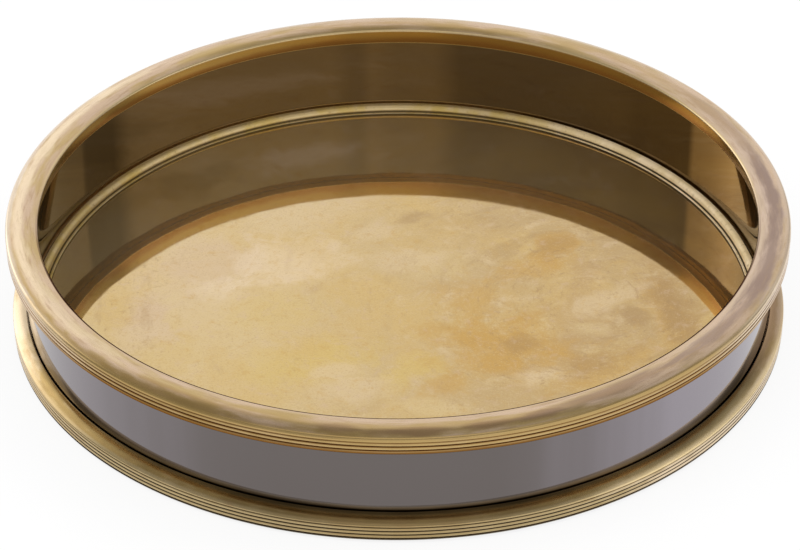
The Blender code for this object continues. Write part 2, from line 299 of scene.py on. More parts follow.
def inner_bead(material, holes):
    """Rounded bead over the edge of the floor, with its toe strip and its open back."""
    low = BEAD_FOOT_Z
    under = FLOOR_TOP + CLEARANCE
    toe_top = under + BEAD_TOE_HEIGHT
    curve_width = BEAD_WIDTH - BEAD_BACK_ROUND
    curve_centre = (BEAD_FOOT + curve_width, toe_top)
    back_centre = (BEAD_BACK - BEAD_BACK_ROUND, BEAD_TOP - BEAD_BACK_ROUND)
    toe_centre = (BEAD_TOE + BEAD_TOE_ROUND, toe_top - BEAD_TOE_ROUND)
    profile = arc(toe_centre, (BEAD_TOE_ROUND, BEAD_TOE_ROUND), *TOE_ARC)
    profile.append((BEAD_FOOT - BEAD_NOTCH, toe_top))
    profile.append((BEAD_FOOT - BEAD_NOTCH / 2, toe_top - BEAD_NOTCH))
    profile += arc(curve_centre, (curve_width, BEAD_TOP - toe_top), *BEAD_ARC)
    profile += arc(back_centre, (BEAD_BACK_ROUND, BEAD_BACK_ROUND), *BACK_ARC)
    profile += [
        (BEAD_BACK, BEAD_TOP - BEAD_GROOVE_DEPTH), (BEAD_OUTER, BEAD_TOP - BEAD_GROOVE_DEPTH),
        (BEAD_OUTER, low), (FLOOR_RADIUS + CLEARANCE, low),
        (FLOOR_RADIUS + CLEARANCE, under), (BEAD_TOE, under),
    ]
    piece = turned("aged_inner_bead", profile, True, RING_STEPS, material)
    cut(piece, holes)
    return piece


def floor_plate(material):
    """Flat floor with slightly rounded edges."""
    high = FLOOR_TOP
    low = FLOOR_LOW
    edge = FLOOR_RADIUS - PLATE_ROUND
    profile = [(0.0, high), (edge, high), (FLOOR_RADIUS, high - PLATE_ROUND)]
    profile += [(FLOOR_RADIUS, low + PLATE_ROUND), (edge, low), (0.0, low)]
    return turned("patina_floor", profile, False, RING_STEPS, material)


def felt_pad(number, material):
    """Felt disc in the place of the CAD pad of the same number."""
    low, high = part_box(f"felt_pad_{number}")
    radius = (high.x - low.x) / 2
    edge = radius - PAD_ROUND
    thick = high.z - low.z
    profile = [(0.0, thick), (edge, thick)]
    profile += arc((edge, thick - PAD_ROUND), (PAD_ROUND, PAD_ROUND), *PAD_TOP_ARC)
    profile += arc((edge, PAD_ROUND), (PAD_ROUND, PAD_ROUND), *PAD_FOOT_ARC)
    profile.append((0.0, 0.0))
    piece = turned(f"felt_disc_{number}", profile, False, PAD_STEPS, material)
    piece.location = ((low.x + high.x) / 2, (low.y + high.y) / 2, low.z)
    return piece


# Materials

class Recipe:
    """Builds a node tree from short calls. A value is a number, a tuple or a socket."""

    def __init__(self, tree):
        self.tree = tree

    def add(self, kind, **settings):
        """Make a node with these properties set."""
        node = self.tree.nodes.new(kind)
        for name, value in settings.items():
            setattr(node, name, value)
        return node

    def put(self, value, socket):
        """Link a socket to a value, or set it."""
        if isinstance(value, bpy.types.NodeSocket):
            self.tree.links.new(value, socket)
        else:
            socket.default_value = value

    def math(self, operation, *values, clamp=False):
        """One Math node."""
        node = self.add("ShaderNodeMath", operation=operation, use_clamp=clamp)
        for value, socket in zip(values, node.inputs):
            self.put(value, socket)
        return node.outputs[0]

    def vector(self, x, y, z):
        """Combine three values."""
        node = self.add("ShaderNodeCombineXYZ")
        for value, socket in zip((x, y, z), node.inputs):
            self.put(value, socket)
        return node.outputs[0]

    def split(self, point):
        """The three values of a vector."""
        node = self.add("ShaderNodeSeparateXYZ")
        self.put(point, node.inputs[0])
        return node.outputs

    def step(self, value, low, high, first=0.0, last=1.0):
        """Ease from first to last as value goes from low to high."""
        node = self.add("ShaderNodeMapRange", interpolation_type="SMOOTHSTEP")
        for setting, socket in zip((value, low, high, first, last), node.inputs):
            self.put(setting, socket)
        return node.outputs[0]

    def mix(self, share, first, second):
        """Blend two colours."""
        node = self.add("ShaderNodeMix", data_type="RGBA")
        self.put(share, node.inputs[0])
        self.put(first, node.inputs[6])
        self.put(second, node.inputs[7])
        return node.outputs[2]

    def blend(self, share, first, second):
        """Blend two values."""
        node = self.add("ShaderNodeMix", data_type="FLOAT")
        sockets = (node.inputs[0], node.inputs[2], node.inputs[3])
        for value, socket in zip((share, first, second), sockets):
            self.put(value, socket)
        return node.outputs[0]

    def ramp(self, value, stops):
        """A curve through (value, result) stops, with straight lines between them."""
        low = stops[0][0]
        span = stops[-1][0] - low
        share = self.math("DIVIDE", self.math("SUBTRACT", value, low), span, clamp=True)
        node = self.add("ShaderNodeValToRGB")
        points = node.color_ramp.elements
        while len(points) < len(stops):
            points.new(1.0)
        for point, (place, result) in zip(points, stops):
            point.position = (place - low) / span
            point.color = (result, result, result, 1.0)
        self.put(share, node.inputs[0])
        return node.outputs[0]

    def noise(self, point, scale, detail=4.0, roughness=0.55, distortion=0.0):
        """Noise from 0 to 1 with features of about 1/scale metres."""
        node = self.add("ShaderNodeTexNoise")
        self.put(point, node.inputs["Vector"])
        self.put(scale, node.inputs["Scale"])
        self.put(detail, node.inputs["Detail"])
        self.put(roughness, node.inputs["Roughness"])
        self.put(distortion, node.inputs["Distortion"])
        return node.outputs[0]


class Paint(Recipe):
    """A material's recipe, with the point's place on the tray at hand."""

    def __init__(self, name, metallic, roughness):
        self.material = bpy.data.materials.new(name)
        self.material.use_nodes = True
        super().__init__(self.material.node_tree)
        self.shader = self.tree.nodes["Principled BSDF"]
        self.shader.inputs["Metallic"].default_value = metallic
        self.shader.inputs["Roughness"].default_value = roughness
        self.point = self.add("ShaderNodeTexCoord").outputs["Object"]
        self.x, self.y, self.z = self.split(self.point)
        across = self.math("MULTIPLY", self.x, self.x)
        along = self.math("MULTIPLY", self.y, self.y)
        self.radius = self.math("SQRT", self.math("ADD", across, along))
        back = self.math("MULTIPLY", self.y, -1.0)
        self.angle = self.math("DEGREES", self.math("ARCTAN2", self.x, back))

    def warped(self, scale, distance):
        """The point, shifted by noise for uneven outlines."""
        node = self.add("ShaderNodeTexNoise")
        self.put(self.point, node.inputs["Vector"])
        self.put(scale, node.inputs["Scale"])
        middle = self.add("ShaderNodeVectorMath", operation="SUBTRACT")
        self.put(node.outputs[1], middle.inputs[0])
        self.put((0.5, 0.5, 0.5), middle.inputs[1])
        shift = self.add("ShaderNodeVectorMath", operation="MULTIPLY_ADD")
        self.put(middle.outputs[0], shift.inputs[0])
        self.put((distance, distance, distance), shift.inputs[1])
        self.put(self.point, shift.inputs[2])
        return shift.outputs[0]

    def along_ring(self, stretch, fine):
        """A point whose noise runs in streaks round the tray."""
        slow_x = self.math("MULTIPLY", self.x, stretch)
        slow_y = self.math("MULTIPLY", self.y, stretch)
        across = self.math("ADD", self.radius, self.z)
        return self.vector(slow_x, slow_y, self.math("MULTIPLY", across, fine))

    def swirl(self, point, middle, slow, fine):
        """A point whose noise runs in arcs round a place on the plan."""
        away = self.add("ShaderNodeVectorMath", operation="SUBTRACT")
        self.put(point, away.inputs[0])
        self.put((middle[0], middle[1], 0.0), away.inputs[1])
        reach = self.add("ShaderNodeVectorMath", operation="LENGTH")
        self.put(away.outputs[0], reach.inputs[0])
        x, y, _ = self.split(away.outputs[0])
        slow_x = self.math("MULTIPLY", x, slow)
        slow_y = self.math("MULTIPLY", y, slow)
        return self.vector(slow_x, slow_y, self.math("MULTIPLY", reach.outputs["Value"], fine))

    def spot(self, point, place, size, turn, ragged):
        """1 in a slanted oval on a plan, easing to 0 at its uneven edge."""
        node = self.add("ShaderNodeMapping", vector_type="TEXTURE")
        self.put(point, node.inputs["Vector"])
        self.put((place[0], place[1], 0.0), node.inputs["Location"])
        self.put((0.0, 0.0, math.radians(turn)), node.inputs["Rotation"])
        self.put((size[0], size[1], 1.0), node.inputs["Scale"])
        length = self.add("ShaderNodeVectorMath", operation="LENGTH")
        self.put(node.outputs[0], length.inputs[0])
        reach = self.math("ADD", length.outputs["Value"], ragged)
        return self.step(reach, *SPOT_EASE, 1.0, 0.0)

    def spots(self, tone, point, ragged, table):
        """Lay a table's spots over a colour."""
        for place, size, turn, spot_tone, share in table:
            spot = self.spot(point, place, size, turn, ragged)
            tone = self.mix(self.math("MULTIPLY", spot, share), tone, spot_tone)
        return tone

    def eased(self, value, origin, reach, first=0.0, last=1.0):
        """Ease from first to last between two distances from an edge."""
        return self.step(value, origin + reach[0], origin + reach[1], first, last)

    def noises(self, points, settings):
        """One noise for each named setting, at the point of the same name."""
        return {name: self.noise(points[name], *setting) for name, setting in settings.items()}

    def layers(self, tone, noises, table, mask=None):
        """Lay a table's colours over a colour, each as its noise goes from low to high."""
        for name, low, high, share, layer in table:
            amount = self.step(noises[name], low, high, 0.0, share)
            if mask is not None:
                amount = self.math("MULTIPLY", mask, amount)
            tone = self.mix(amount, tone, layer)
        return tone

    def flattened(self, point):
        """The point's place on the plan."""
        x, y, _ = self.split(point)
        return self.vector(x, y, 0.0)

    def finish(self, tone, roughness=None, height=None, distance=0.0):
        """Link the results to the shader."""
        self.put(tone, self.shader.inputs["Base Color"])
        if roughness is not None:
            self.put(roughness, self.shader.inputs["Roughness"])
        if height is not None:
            bump = self.add("ShaderNodeBump")
            self.put(distance, bump.inputs["Distance"])
            self.put(height, bump.inputs["Height"])
            self.put(bump.outputs[0], self.shader.inputs["Normal"])
        return self.material


def colour(red, green, blue):
    """A linear colour with its alpha."""
    return (red, green, blue, 1.0)


CREAM = colour(0.70, 0.53, 0.27)
SHELL = colour(0.72, 0.55, 0.33)
CHAMPAGNE = colour(0.84, 0.67, 0.46)
HONEY = colour(0.66, 0.46, 0.18)
AMBER = colour(0.58, 0.35, 0.10)
YELLOW = colour(0.68, 0.49, 0.16)
PEACH = colour(0.50, 0.33, 0.155)
TAN = colour(0.52, 0.36, 0.17)
SMUDGE = colour(0.38, 0.235, 0.105)
BLUSH = colour(0.66, 0.48, 0.33)
LILAC = colour(0.68, 0.53, 0.44)
MAUVE_PAINTED_SHADE = colour(0.32, 0.22, 0.175)
BRASS = colour(0.56, 0.40, 0.18)
GOLD = colour(0.47, 0.32, 0.12)
GOLDEN = colour(0.34, 0.215, 0.070)
REED = colour(0.52, 0.36, 0.145)
SIDE_REED_PAINTED_LIGHT = colour(0.92, 0.77, 0.58)
SILVER_PAINTED_HIGHLIGHT = colour(0.78, 0.68, 0.60)
BASE_REED = colour(0.52, 0.40, 0.21)
OLIVE = colour(0.34, 0.23, 0.085)
ROSE = colour(0.52, 0.32, 0.20)
PURPLE = colour(0.32, 0.190, 0.110)
EDGE_PAINTED_SHADE = colour(0.10, 0.055, 0.040)
UNDERSIDE_PAINTED_LIGHT = colour(0.80, 0.62, 0.32)
LIP = colour(0.42, 0.265, 0.08)
LIP_LEFT = colour(0.50, 0.36, 0.14)
LIP_FOOT = colour(0.39, 0.21, 0.065)
RUST_AND_SHADE = colour(0.190, 0.072, 0.010)
UMBER = colour(0.055, 0.036, 0.016)
NICKEL = colour(0.150, 0.131, 0.125)
NICKEL_PAINTED_REFLECTION = colour(0.300, 0.272, 0.300)
BEAD_PAINTED_LIGHT = colour(1.00, 0.80, 0.51)
CROWN_PAINTED_HIGHLIGHT = colour(0.90, 0.69, 0.35)
INNER_NICKEL = colour(0.148, 0.113, 0.074)
INNER_CLOUD = colour(0.170, 0.130, 0.088)
INNER_PAINTED_REFLECTION = colour(0.205, 0.145, 0.074)
BEAD_GAP_PAINTED_LIGHT = colour(0.42, 0.32, 0.20)
UNDER_RIM_PAINTED_LIGHT = colour(0.55, 0.47, 0.28)
FOOT_GLOW = colour(0.44, 0.41, 0.40)
BOARD = colour(0.012, 0.011, 0.010)
BOARD_GRAIN = colour(0.030, 0.026, 0.022)
STEEL = colour(0.38, 0.37, 0.35)
STEEL_GRAIN = colour(0.52, 0.51, 0.49)
FELT = colour(0.020, 0.017, 0.015)
FELT_FIBRE = colour(0.060, 0.052, 0.046)
WHITE = colour(1.0, 1.0, 1.0)
MATT_FLOOR = colour(0.80, 0.80, 0.80)

# How far out a spot starts and ends its fade, where the floor's arcs turn round, and the
# floor's spots: place and half size in metres, slant in degrees, colour, strength
SPOT_EASE = (0.25, 1.0)
RUBBED = (0.112, -0.004)
FLOOR_SPOTS = (
    ((-0.120, 0.020), (0.070, 0.090), 20.0, SHELL, 0.60),
    ((-0.060, 0.085), (0.060, 0.030), 25.0, SHELL, 0.50),
    ((-0.115, 0.030), (0.045, 0.036), 10.0, BLUSH, 0.35),
    ((-0.066, 0.030), (0.052, 0.034), 15.0, CHAMPAGNE, 0.50),
    ((-0.018, 0.004), (0.030, 0.022), 30.0, HONEY, 0.65),
    ((-0.077, -0.020), (0.046, 0.028), 10.0, YELLOW, 0.35),
    ((-0.052, -0.070), (0.050, 0.034), 15.0, YELLOW, 0.70),
    ((-0.058, -0.058), (0.024, 0.017), 40.0, HONEY, 0.50),
    ((0.006, -0.080), (0.034, 0.018), 40.0, YELLOW, 0.65),
    ((-0.028, -0.096), (0.034, 0.015), 10.0, SHELL, 0.60),
    ((-0.096, -0.062), (0.040, 0.030), 30.0, CREAM, 0.40),
    ((-0.100, -0.072), (0.018, 0.028), 10.0, HONEY, 0.40),
    ((-0.146, -0.026), (0.020, 0.038), 10.0, BLUSH, 0.55),
    ((-0.164, -0.020), (0.012, 0.034), 10.0, HONEY, 0.55),
    ((0.026, 0.030), (0.036, 0.022), 20.0, CREAM, 0.40),
    ((0.106, -0.026), (0.050, 0.034), 80.0, PEACH, 0.50),
    ((0.086, -0.070), (0.050, 0.030), 25.0, PEACH, 0.55),
    ((0.044, -0.008), (0.038, 0.026), -20.0, AMBER, 0.55),
    ((0.057, -0.053), (0.052, 0.040), -18.0, AMBER, 0.95),
    ((0.070, -0.054), (0.017, 0.012), 30.0, SMUDGE, 0.45),
    ((0.026, -0.096), (0.024, 0.015), 20.0, AMBER, 0.60),
    ((0.078, 0.026), (0.036, 0.016), 30.0, AMBER, 0.60),
    ((0.095, 0.046), (0.028, 0.014), 55.0, AMBER, 0.95),
    ((0.095, 0.047), (0.020, 0.010), 55.0, SMUDGE, 0.35),
    ((0.113, 0.020), (0.022, 0.013), 60.0, PEACH, 0.55),
    ((0.044, 0.074), (0.040, 0.018), -10.0, SMUDGE, 0.18),
    ((0.006, 0.082), (0.014, 0.008), 40.0, SMUDGE, 0.50),
    ((0.064, 0.046), (0.034, 0.009), 35.0, SMUDGE, 0.30),
    ((0.137, -0.022), (0.012, 0.016), 20.0, SMUDGE, 0.50),
    ((0.118, -0.076), (0.042, 0.026), 30.0, AMBER, 0.50),
    ((0.112, -0.070), (0.034, 0.014), 35.0, SMUDGE, 0.40),
    ((0.157, -0.022), (0.017, 0.066), 8.0, AMBER, 0.60),
    ((0.160, -0.020), (0.014, 0.066), 10.0, SMUDGE, 0.60),
    ((0.124, -0.008), (0.036, 0.015), 42.0, SHELL, 0.60),
    ((0.112, -0.036), (0.016, 0.009), 10.0, CREAM, 0.50),
    ((0.082, -0.083), (0.024, 0.013), 10.0, SHELL, 0.75),
    ((-0.018, 0.066), (0.024, 0.013), 10.0, SHELL, 0.50),
    ((-0.037, -0.079), (0.020, 0.013), 20.0, SHELL, 0.65),
    ((-0.150, -0.042), (0.024, 0.020), 10.0, SHELL, 0.55),
    ((0.004, 0.034), (0.028, 0.018), 10.0, SHELL, 0.55),
    ((-0.104, 0.010), (0.024, 0.018), 10.0, CHAMPAGNE, 0.45),
    ((-0.050, 0.004), (0.014, 0.006), 35.0, PEACH, 0.35),
    ((-0.020, -0.114), (0.018, 0.007), 20.0, TAN, 0.30),
    ((0.022, -0.114), (0.036, 0.010), -15.0, CREAM, 0.60),
    # Painted shade at the back left of the floor and painted light at its back middle
    ((-0.128, 0.124), (0.052, 0.024), 44.0, OLIVE, 0.40),
    ((-0.063, 0.155), (0.046, 0.022), 22.0, CHAMPAGNE, 0.75),
)

# Spots on the rings, likewise, but placed and sized in degrees round the tray and in
# percent of the rim's width out from its inner edge; some are painted highlights and painted
# shade, as marked
RIM_SPOTS = (
    # Painted highlight on the rim's left
    ((-96.0, 62.0), (52.0, 26.0), 0.0, CHAMPAGNE, 0.85),
    ((-92.0, 12.0), (50.0, 18.0), 0.0, TAN, 0.35),
    # Painted highlight on the rim's left
    ((-58.0, 46.0), (24.0, 32.0), 0.0, CHAMPAGNE, 0.60),
    ((-62.0, 88.0), (26.0, 20.0), 0.0, GOLD, 0.75),
    # Painted dark reflection on the outer part of the rim's left front
    ((-32.0, 86.0), (34.0, 30.0), 0.0, GOLDEN, 0.85),
    ((-27.0, 60.0), (20.0, 14.0), -2.0, SMUDGE, 0.60),
    ((0.0, 6.0), (66.0, 15.0), 0.0, BLUSH, 0.70),
    ((-2.0, 54.0), (38.0, 44.0), 0.0, GOLD, 0.62),
    ((-8.5, 60.0), (4.4, 26.0), 0.0, PURPLE, 0.58),
    ((-2.6, 72.0), (3.0, 18.0), 0.0, PURPLE, 0.42),
    ((3.0, 68.0), (6.0, 24.0), 0.0, PURPLE, 0.62),
    ((12.0, 64.0), (4.6, 24.0), 0.0, PURPLE, 0.66),
    ((20.0, 58.0), (4.0, 22.0), 0.0, PURPLE, 0.64),
    ((86.0, 34.0), (58.0, 66.0), 0.0, LILAC, 0.60),
    # Painted shade across the middle of the rim's right side, with a smudge among it
    ((32.0, 50.0), (15.0, 32.0), 0.0, MAUVE_PAINTED_SHADE, 0.78),
    ((32.0, 48.0), (14.0, 28.0), 0.0, SMUDGE, 0.40),
    ((54.0, 54.0), (20.0, 36.0), 0.0, MAUVE_PAINTED_SHADE, 0.74),
    ((74.0, 50.0), (18.0, 36.0), 0.0, MAUVE_PAINTED_SHADE, 0.84),
    ((92.0, 52.0), (19.0, 36.0), 0.0, MAUVE_PAINTED_SHADE, 0.95),
    ((114.0, 50.0), (21.0, 34.0), 0.0, MAUVE_PAINTED_SHADE, 0.55),
    ((116.0, 46.0), (16.0, 28.0), 0.0, PEACH, 0.45),
    # Painted highlights along the rim's outer edge, on the right, the left and the back
    ((96.0, 96.0), (44.0, 22.0), 0.0, LILAC, 0.55),
    ((-96.0, 94.0), (56.0, 16.0), 0.0, SILVER_PAINTED_HIGHLIGHT, 0.55),
    ((152.0, 94.0), (40.0, 16.0), 0.0, SILVER_PAINTED_HIGHLIGHT, 0.50),
    ((-158.0, 94.0), (36.0, 18.0), 0.0, SILVER_PAINTED_HIGHLIGHT, 0.60),
    ((138.0, 52.0), (20.0, 32.0), 0.0, PEACH, 0.45),
    ((180.0, 18.0), (30.0, 34.0), 0.0, GOLDEN, 0.62),
    ((-180.0, 18.0), (30.0, 34.0), 0.0, GOLDEN, 0.62),
    ((180.0, 46.0), (26.0, 24.0), 0.0, PEACH, 0.50),
    ((-180.0, 46.0), (26.0, 24.0), 0.0, PEACH, 0.50),
    ((-150.0, 14.0), (24.0, 24.0), 0.0, GOLD, 0.38),
    # Painted highlight on the rim's left, towards the back
    ((-128.0, 66.0), (24.0, 26.0), 0.0, CHAMPAGNE, 0.50),
)
BASE_SPOTS = (
    # Painted highlight on the base ring's crown on the left
    ((-80.0, 80.0), (18.0, 70.0), 0.0, CHAMPAGNE, 0.80),
    ((-60.0, 98.0), (14.0, 14.0), 0.0, BRASS, 0.60),
    # Painted highlights on the base ring's crown on the right
    ((48.0, 84.0), (26.0, 26.0), 0.0, CREAM, 0.75),
    ((54.0, 97.0), (30.0, 14.0), 0.0, CHAMPAGNE, 0.95),
    ((0.0, 95.0), (20.0, 10.0), 0.0, GOLDEN, 0.50),
    ((80.0, 60.0), (20.0, 46.0), 0.0, ROSE, 0.65),
    ((84.0, 94.0), (20.0, 24.0), 0.0, BLUSH, 0.60),
)

# Below, unless a comment says otherwise, two numbers are where a change starts and ends,
# and two more are its first and last value. Distances are in metres, on the rings, the
# bead and the wall mostly from a radius or a height, and angles in degrees from the front.

# The floor: its noises (features to the metre, detail, roughness), how its point is warped
# (scale, metres), how its arcs run (slow along them, fine across), and the layers of its
# patina (noise, from, to, share, colour)
FLOOR_NOISES = {
    "cloud": (15.0, 5.0, 0.55),
    "haze": (44.0, 6.0, 0.65),
    "dab": (130.0, 6.0, 0.70),
    "speck": (760.0, 3.0, 0.75),
    "grit": (230.0, 5.0, 0.78),
    "broad": (1.0, 8.0, 0.72),
    "narrow": (1.0, 5.0, 0.75),
    "wave": (16.0, 2.0, 0.5),
}
FLOOR_BEND = (26.0, 0.022)
FLOOR_EVEN = (14.0, 0.012)
BROAD_ARCS = (22.0, 75.0)
NARROW_ARCS = (90.0, 300.0)
FLOOR_SIDES = (-0.15, 0.15)
RUBBED_RIGHT = (-0.02, 0.10, 0.35, 1.0)
RUBBED_LEFT = (-0.10, -0.15, 0.0, 0.70)
FLOOR_RAGGED = 2.2
GRIT_SHARE = (0.52, 0.68, 0.0, 0.50)
GRIT_HAZE = (0.42, 0.58, 0.25, 1.0)
FLOOR_ROUGH = (0.35, 0.70, 0.030, 0.055)
FLOOR_WAVE = 0.00018
FLOOR_CLOUDS = (
    ("cloud", 0.36, 0.66, 0.75, HONEY),
    ("haze", 0.52, 0.70, 0.50, SHELL),
    ("haze", 0.46, 0.30, 0.34, TAN),
)
FLOOR_DABS = (
    ("dab", 0.52, 0.72, 0.42, BLUSH),
    ("dab", 0.48, 0.28, 0.46, AMBER),
)
FLOOR_ARCS = (
    ("broad", 0.54, 0.70, 0.34, SMUDGE),
    ("broad", 0.45, 0.30, 0.30, SHELL),
    ("narrow", 0.55, 0.74, 0.44, SMUDGE),
    ("narrow", 0.45, 0.26, 0.24, SHELL),
)
FLOOR_SPECKS = (
    ("speck", 0.53, 0.70, 0.50, PEACH),
    ("speck", 0.47, 0.30, 0.40, SHELL),
)

# Both rings: their noises, how their streaks run (slow along the ring, fine across), and
# the degrees from the front over which the reeds get paler, as painted light on the sides
RING_NOISES = {
    "drift": (1.0, 4.0, 0.55),
    "grain": (1.0, 5.0, 0.60),
    "speck": (500.0, 4.0, 0.70),
}
DRIFT_STREAKS = (30.0, 130.0)
GRAIN_STREAKS = (60.0, 560.0)
RING_TONES = (0.36, 0.64)
RING_RAGGED = 1.5
RAGGED_MIDDLE = 0.75
GRAIN_PART = 0.5
TURNED_AWAY = (42.0, 66.0)
AWAY_SHARE = 0.35
SIDE_EDGES = (-REED_DEPTH * 2.4, -REED_DEPTH)
SIDE_SHARE = 0.85
RING_METAL = 0.93
RING_GLOSS = 0.20
RING_ROUGH = (0.30, 0.70, 0.15, 0.24)
RING_GRAIN = 0.00002
RING_STREAKS = (
    ("grain", 0.50, 0.70, 0.34, SMUDGE),
    ("grain", 0.47, 0.30, 0.20, SHELL),
)
RING_SPECKS = (
    ("grain", 0.50, 0.70, 0.12, SMUDGE),
    ("speck", 0.56, 0.76, 0.24, SMUDGE),
)
GROOVE_EDGES = (-REED_DEPTH * 2, -REED_DEPTH * 1.5)
GROOVE_HEART = 0.05
REEDED_TURNS = 0.45

# The rim: its grooves, the band above its reeds, the painted shade on its lowest reed, the
# painted light on its underside, the painted dark line at its front and the painted lit line at
# its back, and its inner face
RIM_GROOVE = 0.36
FAR_GROOVE = 0.8
BAND_EDGE = (0.0, 0.0006)
BAND_SHARE = 0.60
LOWEST_EDGE = (0.0014, 0.0022)
LOWEST_SHARE = 0.85
UNDER_EDGE = (0.0001, 0.0004)
UNDER_ROUGH = 0.36
FRONT_LINE = (-0.10, 0.02)
LINE_EDGE = (0.0011, 0.0017)
BACK_LINE = (-0.02, 0.06)
BACK_SHARE = 0.7
LIT_EDGE = (0.0009, 0.0018)
LIP_TOP = 0.002
LIP_DRIFT = 1.2
LIP_SIDES = (0.02, -0.12)
LIP_EASE = (0.1, 0.9)
LIP_EDGE = (-0.0016, -0.0009)
LIP_FACE = (0.003, 0.004)

# The base ring: its grooves, the painted shade on its top in front, its painted shades by the wall
# and at its foot, and the painted highlight on its crown on the right
BASE_GROOVE_SPREAD = 0.26
BASE_FACING = (14.0, 34.0)
FACING_LEAST = 0.12
FRONT_SHADE_RISE = (0.0030, 0.0050)
FRONT_SHADE_SHARE = 0.62
FRONT_SHADE_FALL = (0.0065, 0.0092)
FOOT_SHADE = (0.0010, 0.0060)
FOOT_SHARE = 0.70
FOOT_LEAST = 0.40
RIGHT_SHADE = (0.0040, 0.0092)
RIGHT_SHARE = 0.56
RIGHT_START = (30.0, 46.0)
RIGHT_END = (60.0, 76.0)
GROUND_SHADE = (0.0007, 0.0014)
GROUND_SHARE = 0.90
CROWN_START = (20.0, 38.0)
CROWN_END = (52.0, 100.0)
CROWN_EDGE = (0.0054, 0.0088)
CROWN_FOOT = (-0.0002, 0.0002)
CROWN_SHARE = 0.8
CROWN_METAL = 0.45

# The bead: its noises, the painted light on its right side, its dark lines of painted shade and
# the painted light in the slot behind it
BEAD_NOISES = {"mottle": (70.0, 5.0, 0.60), "fleck": (420.0, 3.0, 0.65)}
BEAD_BEND = (60.0, 0.006)
BEAD_METAL = 0.80
BEAD_TONES = (0.36, 0.66)
BEAD_LIT_SIDE = (0.06, 0.13)
LIT_SIDE_MOTTLE = (("mottle", 0.40, 0.62, 0.40, YELLOW),)
BEAD_FLECKS = (("fleck", 0.56, 0.74, 0.50, SMUDGE),)
LEFT_LINES = 0.80
TOE_EDGE = (0.0001, 0.0002)
SLOT_LIGHT_EDGE = (-0.0003, -0.0001)
LIT_SIDE_METAL = 0.35
BEAD_ROUGH = (0.30, 0.70, 0.34, 0.46)
LIT_SIDE_ROUGH = 0.50
BEAD_GRAIN = 0.00002

# The wall: its noises, the degrees over which its outside gets paler as a painted reflection,
# the painted light on the right of its inside and just above the bead, and the bands at its foot
# and its top: a painted reflection at its foot and painted light under the rim
WALL_NOISES = {"cloud": (20.0, 3.0, 0.5), "column": (26.0, 3.0, 0.5), "wave": (14.0, 1.0, 0.4)}
WALL_UNEVEN = 22.0
WALL_RIGHT = (14.0, 46.0)
WALL_LEFT = (-18.0, -62.0, 0.0, 0.62)
WALL_BACK = (-100.0, -160.0)
INNER_SIDE = (0.10, 0.20)
BEAD_GAP_EDGE = (0.0009, 0.0016)
UNDER_RIM_EDGE = (-0.0040, -0.0022)
UNDER_RIM_SIDES = (-0.06, 0.09, 0.20, 1.0)
GLOW_RISE = (0.0006, 0.0015)
GLOW_SHARE = 0.60
GLOW_FALL = (0.0024, 0.0038)
WALL_ROUGH = (0.3, 0.7, 0.025, 0.045)
WALL_WAVE = 0.0004

# The plain materials: metallic, roughness, noise, two tones, how the roughness follows the
# noise, height of the bump
FELT_SHEEN = 0.4
PLAIN_MATERIALS = {
    "board_black": (
        0.0, 0.7, (600.0, 3.0, 0.6), (BOARD, BOARD_GRAIN), (0.3, 0.7, 0.6, 0.8), 0.00005
    ),
    "screw_steel": (
        1.0, 0.35, (1500.0, 3.0, 0.6), (STEEL, STEEL_GRAIN), (0.3, 0.7, 0.28, 0.42), 0.00001
    ),
    "felt_dark": (
        0.0, 0.95, (2600.0, 4.0, 0.7, 1.5), (FELT, FELT_FIBRE), (0.3, 0.7, 0.9, 1.0), 0.0001
    ),
}


def floor_brass():
    """Lacquered brass with a mottled patina, rubbed in arcs round a place on the right."""
    paint = Paint("floor_brass", metallic=0.90, roughness=0.06)
    bent = paint.flattened(paint.warped(*FLOOR_BEND))
    even = paint.flattened(paint.warped(*FLOOR_EVEN))
    points = {"cloud": bent, "haze": bent, "dab": bent}
    points.update({name: paint.point for name in ("speck", "grit", "wave")})
    points["broad"] = paint.swirl(even, RUBBED, *BROAD_ARCS)
    points["narrow"] = paint.swirl(even, RUBBED, *NARROW_ARCS)
    noises = paint.noises(points, FLOOR_NOISES)
    haze = noises["haze"]
    ragged = paint.math("MULTIPLY", paint.math("SUBTRACT", haze, 0.5), FLOOR_RAGGED)
    tone = paint.mix(paint.step(paint.x, *FLOOR_SIDES), CREAM, TAN)
    tone = paint.layers(tone, noises, FLOOR_CLOUDS)
    tone = paint.spots(tone, bent, ragged, FLOOR_SPOTS)
    tone = paint.layers(tone, noises, FLOOR_DABS)
    rubbed = paint.step(paint.x, *RUBBED_LEFT)
    rubbed = paint.math("MAXIMUM", paint.step(paint.x, *RUBBED_RIGHT), rubbed)
    tone = paint.layers(tone, noises, FLOOR_ARCS, rubbed)
    grit = paint.step(noises["grit"], *GRIT_SHARE)
    grit = paint.math("MULTIPLY", grit, paint.step(haze, *GRIT_HAZE))
    tone = paint.mix(paint.math("MULTIPLY", rubbed, grit), tone, SMUDGE)
    tone = paint.layers(tone, noises, FLOOR_SPECKS)
    return paint.finish(tone, paint.step(haze, *FLOOR_ROUGH), noises["wave"], FLOOR_WAVE)


def reed_grooves(paint, reed_top, pitch, spread):
    """1 at the bottom of each groove between the reeds, easing to 0 up its sides."""
    turns = paint.math("DIVIDE", paint.math("SUBTRACT", reed_top, paint.z), pitch)
    part = paint.math("FRACT", paint.math("ADD", turns, 0.5))
    part = paint.math("ABSOLUTE", paint.math("SUBTRACT", part, 0.5))
    groove = paint.step(part, GROOVE_HEART, spread, 1.0, 0.0)
    reeded = paint.step(turns, -REEDED_TURNS, REEDED_TURNS)
    outside = paint.eased(paint.radius, OUTER_RADIUS, GROOVE_EDGES)
    return paint.math("MULTIPLY", groove, paint.math("MULTIPLY", reeded, outside))


